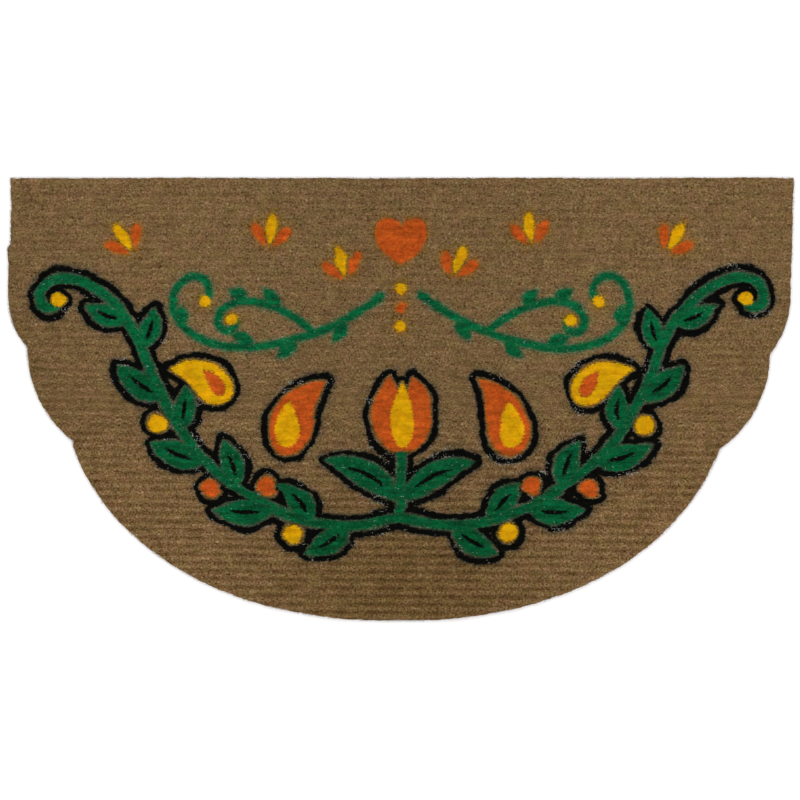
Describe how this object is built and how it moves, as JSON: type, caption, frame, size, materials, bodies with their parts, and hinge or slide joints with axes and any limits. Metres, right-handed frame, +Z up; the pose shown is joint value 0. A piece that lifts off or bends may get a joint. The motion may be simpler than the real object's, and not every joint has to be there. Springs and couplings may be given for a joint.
{
  "type": "half-round doormat",
  "caption": "Flat half-round doormat of ribbed needle felt, with a straight back edge and scalloped sides.",
  "frame": {"origin": "on the floor, under the middle of the mat's bounding box", "axes": "+X along the straight back edge, +Y from the round front towards the straight back edge, +Z up out of the ribbed face"},
  "size_m": [0.7002, 0.394, 0.0064],
  "materials": {
    "felt": "ribbed needle-punched felt, matte, heather brown with a printed pattern"
  },
  "bodies": {
    "root": {"mat": "felt"}
  },
  "joints": []
}
